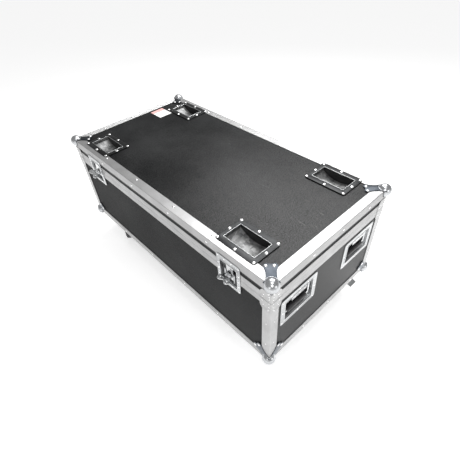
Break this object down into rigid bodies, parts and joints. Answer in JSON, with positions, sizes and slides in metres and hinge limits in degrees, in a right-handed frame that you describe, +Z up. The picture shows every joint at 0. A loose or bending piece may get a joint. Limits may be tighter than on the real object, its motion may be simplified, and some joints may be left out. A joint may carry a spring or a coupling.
{
  "type": "equipment rack case",
  "caption": "Long wheeled equipment case with laminated boards, aluminium edge profiles, hinged lid, steel corners and recessed fittings.",
  "frame": {"origin": "centre of the inside floor, on the base board's upper face", "axes": "+X along the length, left to right seen from the latched front; +Y from the latched front to the hinged back; +Z up"},
  "size_m": [1.231, 0.6493, 0.5556],
  "materials": {
    "laminate_board": "black laminate with a fine texture over birch plywood, light scuffs",
    "aluminium_profile": "natural extruded aluminium with fine lengthwise ribs",
    "corner_steel": "bright plated pressed steel",
    "dish_steel": "plated sheet steel, dull grey flange and brighter well floor",
    "fitting_zinc": "zinc plated pressed steel",
    "bright_zinc": "bright zinc plated steel",
    "grip_rubber": "moulded black rubber grip on a plated bail",
    "caster_zinc": "zinc plated pressed steel",
    "wheel_rubber": "grey-black rubber tyre on a moulded hub"
  },
  "bodies": {
    "body": {"base_panel": "laminate_board", "front_panel": "laminate_board", "back_panel": "laminate_board", "left_panel": "laminate_board", "right_panel": "laminate_board", "base_edge_frame": "aluminium_profile", "body_closure_frame": "aluminium_profile", "corner_post_front_left": "aluminium_profile", "corner_post_front_right": "aluminium_profile", "corner_post_back_right": "aluminium_profile", "corner_post_back_left": "aluminium_profile", "base_ball_corner_front_left": "corner_steel", "base_ball_corner_front_right": "corner_steel", "base_ball_corner_back_right": "corner_steel", "base_ball_corner_back_left": "corner_steel", "handle_dish_left_front": "fitting_zinc", "handle_dish_left_back": "fitting_zinc", "handle_dish_right_front": "fitting_zinc", "handle_dish_right_back": "fitting_zinc", "latch_dish_left": "fitting_zinc", "latch_dish_right": "fitting_zinc", "hinge_leaf_body": "aluminium_profile", "hinge_pin": "bright_zinc", "caster_plate_front_left": "caster_zinc", "caster_plate_front_right": "caster_zinc", "caster_plate_back_right": "caster_zinc", "caster_plate_back_left": "caster_zinc"},
    "lid": {"lid_panel": "laminate_board", "lid_rim_panel": "laminate_board", "lid_edge_frame": "aluminium_profile", "lid_closure_frame": "aluminium_profile", "hinge_leaf_lid": "aluminium_profile", "latch_keeper_left": "fitting_zinc", "latch_keeper_right": "fitting_zinc", "lid_ball_corner_front_left": "corner_steel", "lid_ball_corner_front_right": "corner_steel", "lid_ball_corner_back_right": "corner_steel", "lid_ball_corner_back_left": "corner_steel", "stacking_dish_front_left": "dish_steel", "stacking_dish_front_right": "dish_steel", "stacking_dish_back_right": "dish_steel", "stacking_dish_back_left": "dish_steel"},
    "latch_spindle_left": {"latch_spindle_left": "bright_zinc"},
    "latch_wing_left": {"latch_wing_left": "fitting_zinc"},
    "latch_hook_left": {"latch_hook_left": "bright_zinc"},
    "latch_spindle_right": {"latch_spindle_right": "bright_zinc"},
    "latch_wing_right": {"latch_wing_right": "fitting_zinc"},
    "latch_hook_right": {"latch_hook_right": "bright_zinc"},
    "handle_grip_left_front": {"handle_grip_left_front": "grip_rubber"},
    "handle_grip_left_back": {"handle_grip_left_back": "grip_rubber"},
    "handle_grip_right_front": {"handle_grip_right_front": "grip_rubber"},
    "handle_grip_right_back": {"handle_grip_right_back": "grip_rubber"},
    "caster_fork_front_left": {"caster_fork_front_left": "caster_zinc"},
    "caster_wheel_front_left": {"caster_wheel_front_left": "wheel_rubber"},
    "caster_fork_front_right": {"caster_fork_front_right": "caster_zinc"},
    "caster_wheel_front_right": {"caster_wheel_front_right": "wheel_rubber"},
    "caster_fork_back_right": {"caster_fork_back_right": "caster_zinc"},
    "caster_wheel_back_right": {"caster_wheel_back_right": "wheel_rubber"},
    "caster_fork_back_left": {"caster_fork_back_left": "caster_zinc"},
    "caster_wheel_back_left": {"caster_wheel_back_left": "wheel_rubber"}
  },
  "joints": [
    {"name": "lid_hinge", "type": "hinge", "parent": "body", "child": "lid", "pos_m": [0, 0.3046, 0.3237], "axis": [-1, 0, 0], "range_deg": [0, 100]},
    {"name": "latch_twist_left", "type": "hinge", "parent": "body", "child": "latch_spindle_left", "pos_m": [-0.424, -0.3, 0.3057], "axis": [0, -1, 0], "range_deg": [0, 180]},
    {"name": "latch_wing_fold_left", "type": "hinge", "parent": "latch_spindle_left", "child": "latch_wing_left", "pos_m": [-0.424, -0.2998, 0.3057], "axis": [0.9063, 0, -0.4226], "range_deg": [0, 90]},
    {"name": "latch_hook_draw_left", "type": "slide", "parent": "body", "child": "latch_hook_left", "axis": [0, 0.4472, -0.8944], "range_m": [0, 0.0067]},
    {"name": "latch_twist_right", "type": "hinge", "parent": "body", "child": "latch_spindle_right", "pos_m": [0.424, -0.3, 0.3057], "axis": [0, -1, 0], "range_deg": [0, 180]},
    {"name": "latch_wing_fold_right", "type": "hinge", "parent": "latch_spindle_right", "child": "latch_wing_right", "pos_m": [0.424, -0.2998, 0.3057], "axis": [1, 0, 0], "range_deg": [0, 90]},
    {"name": "latch_hook_draw_right", "type": "slide", "parent": "body", "child": "latch_hook_right", "axis": [0, 0.4472, -0.8944], "range_m": [0, 0.0067]},
    {"name": "handle_swing_left_front", "type": "hinge", "parent": "body", "child": "handle_grip_left_front", "pos_m": [-0.5895, -0.165, 0.2537], "axis": [0, 1, 0], "range_deg": [0, 90], "stiffness_Nm_per_rad": 0.15, "springref_deg": -34.38},
    {"name": "handle_swing_left_back", "type": "hinge", "parent": "body", "child": "handle_grip_left_back", "pos_m": [-0.5895, 0.165, 0.2537], "axis": [0, 1, 0], "range_deg": [0, 90], "stiffness_Nm_per_rad": 0.15, "springref_deg": -34.38},
    {"name": "handle_swing_right_front", "type": "hinge", "parent": "body", "child": "handle_grip_right_front", "pos_m": [0.5895, -0.165, 0.2537], "axis": [0, -1, 0], "range_deg": [0, 90], "stiffness_Nm_per_rad": 0.15, "springref_deg": -34.38},
    {"name": "handle_swing_right_back", "type": "hinge", "parent": "body", "child": "handle_grip_right_back", "pos_m": [0.5895, 0.165, 0.2537], "axis": [0, -1, 0], "range_deg": [0, 90], "stiffness_Nm_per_rad": 0.15, "springref_deg": -34.38},
    {"name": "caster_swivel_front_left", "type": "hinge", "parent": "body", "child": "caster_fork_front_left", "pos_m": [-0.472, -0.218, -0.03], "axis": [0, 0, 1], "continuous": true},
    {"name": "caster_roll_front_left", "type": "hinge", "parent": "caster_fork_front_left", "child": "caster_wheel_front_left", "pos_m": [-0.44126, -0.24034, -0.088], "axis": [0.5878, 0.809, 0], "continuous": true},
    {"name": "caster_swivel_front_right", "type": "hinge", "parent": "body", "child": "caster_fork_front_right", "pos_m": [0.472, -0.218, -0.03], "axis": [0, 0, 1], "continuous": true},
    {"name": "caster_roll_front_right", "type": "hinge", "parent": "caster_fork_front_right", "child": "caster_wheel_front_right", "pos_m": [0.43529, -0.20816, -0.088], "axis": [-0.2588, -0.9659, 0], "continuous": true},
    {"name": "caster_swivel_back_right", "type": "hinge", "parent": "body", "child": "caster_fork_back_right", "pos_m": [0.472, 0.218, -0.03], "axis": [0, 0, 1], "continuous": true},
    {"name": "caster_roll_back_right", "type": "hinge", "parent": "caster_fork_back_right", "child": "caster_wheel_back_right", "pos_m": [0.51, 0.218, -0.088], "axis": [0, 1, 0], "continuous": true},
    {"name": "caster_swivel_back_left", "type": "hinge", "parent": "body", "child": "caster_fork_back_left", "pos_m": [-0.472, 0.218, -0.03], "axis": [0, 0, 1], "continuous": true},
    {"name": "caster_roll_back_left", "type": "hinge", "parent": "caster_fork_back_left", "child": "caster_wheel_back_left", "pos_m": [-0.50771, 0.205, -0.088], "axis": [0.342, -0.9397, 0], "continuous": true}
  ],
  "couplings": [
    {"joint": "latch_twist_left", "follows": "latch_hook_draw_left", "rad_per_m": 468.89},
    {"joint": "latch_twist_right", "follows": "latch_hook_draw_right", "rad_per_m": 468.89}
  ]
}
